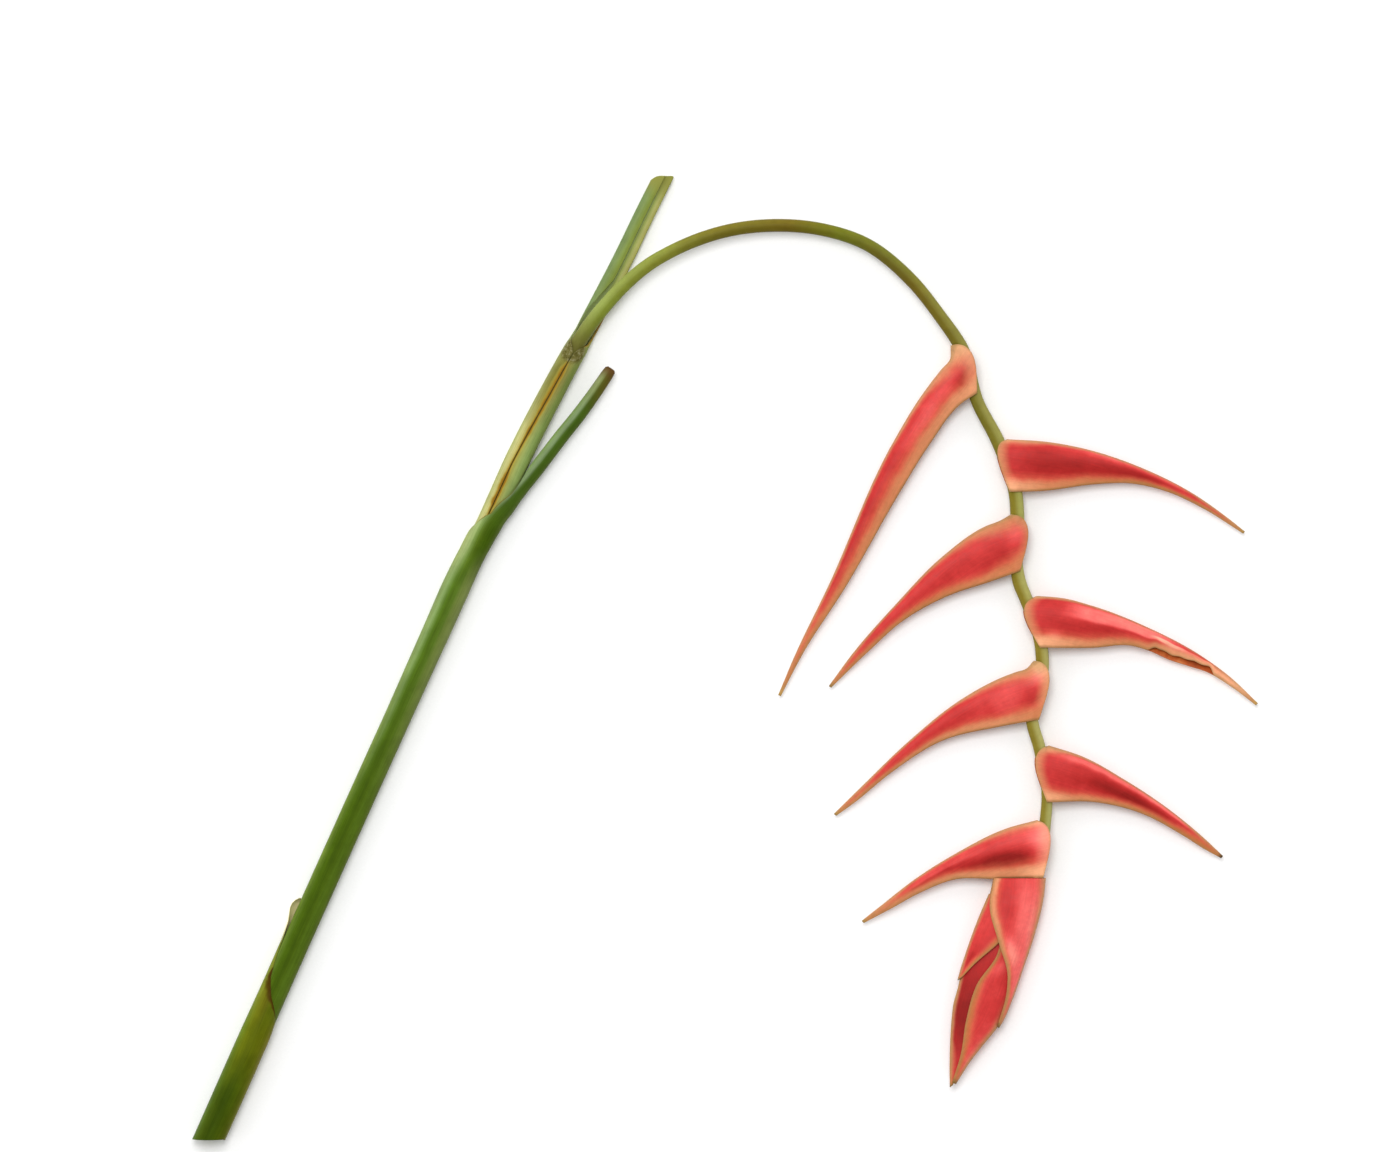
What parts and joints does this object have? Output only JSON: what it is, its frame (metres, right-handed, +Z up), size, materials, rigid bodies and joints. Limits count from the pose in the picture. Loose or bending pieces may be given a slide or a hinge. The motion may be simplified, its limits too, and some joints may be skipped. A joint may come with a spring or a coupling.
{
  "type": "heliconia flower",
  "caption": "Cut pendent heliconia lying on its side: sheathed stem with two cut leaf stalks, and an arching flower stalk with boat-shaped bracts and a closed bud.",
  "frame": {"origin": "middle of the outline seen from above, on the surface that the cut stem lies on", "axes": "+Z up from the surface, +Y from the cut end towards the top of the arch, +X from the stem towards the hanging flower head"},
  "size_m": [0.5328, 0.4832, 0.0154],
  "materials": {
    "sheath_outer": "satin",
    "leaf_middle": "satin",
    "leaf_upper": "satin",
    "stalk": "satin",
    "bract": "satin",
    "bud": "satin"
  },
  "bodies": {
    "root": {"lower_leaf_sheath": "sheath_outer", "middle_leaf": "leaf_middle", "upper_leaf": "leaf_upper", "flower_stalk": "stalk", "bract_1": "bract", "bract_2": "bract", "bract_3": "bract", "bract_4": "bract", "bract_5": "bract", "bract_6": "bract", "bract_7": "bract", "bud_bract_8": "bud", "bud_bract_9": "bud", "bud_bract_10": "bud", "bud_bract_11": "bud"}
  },
  "joints": []
}
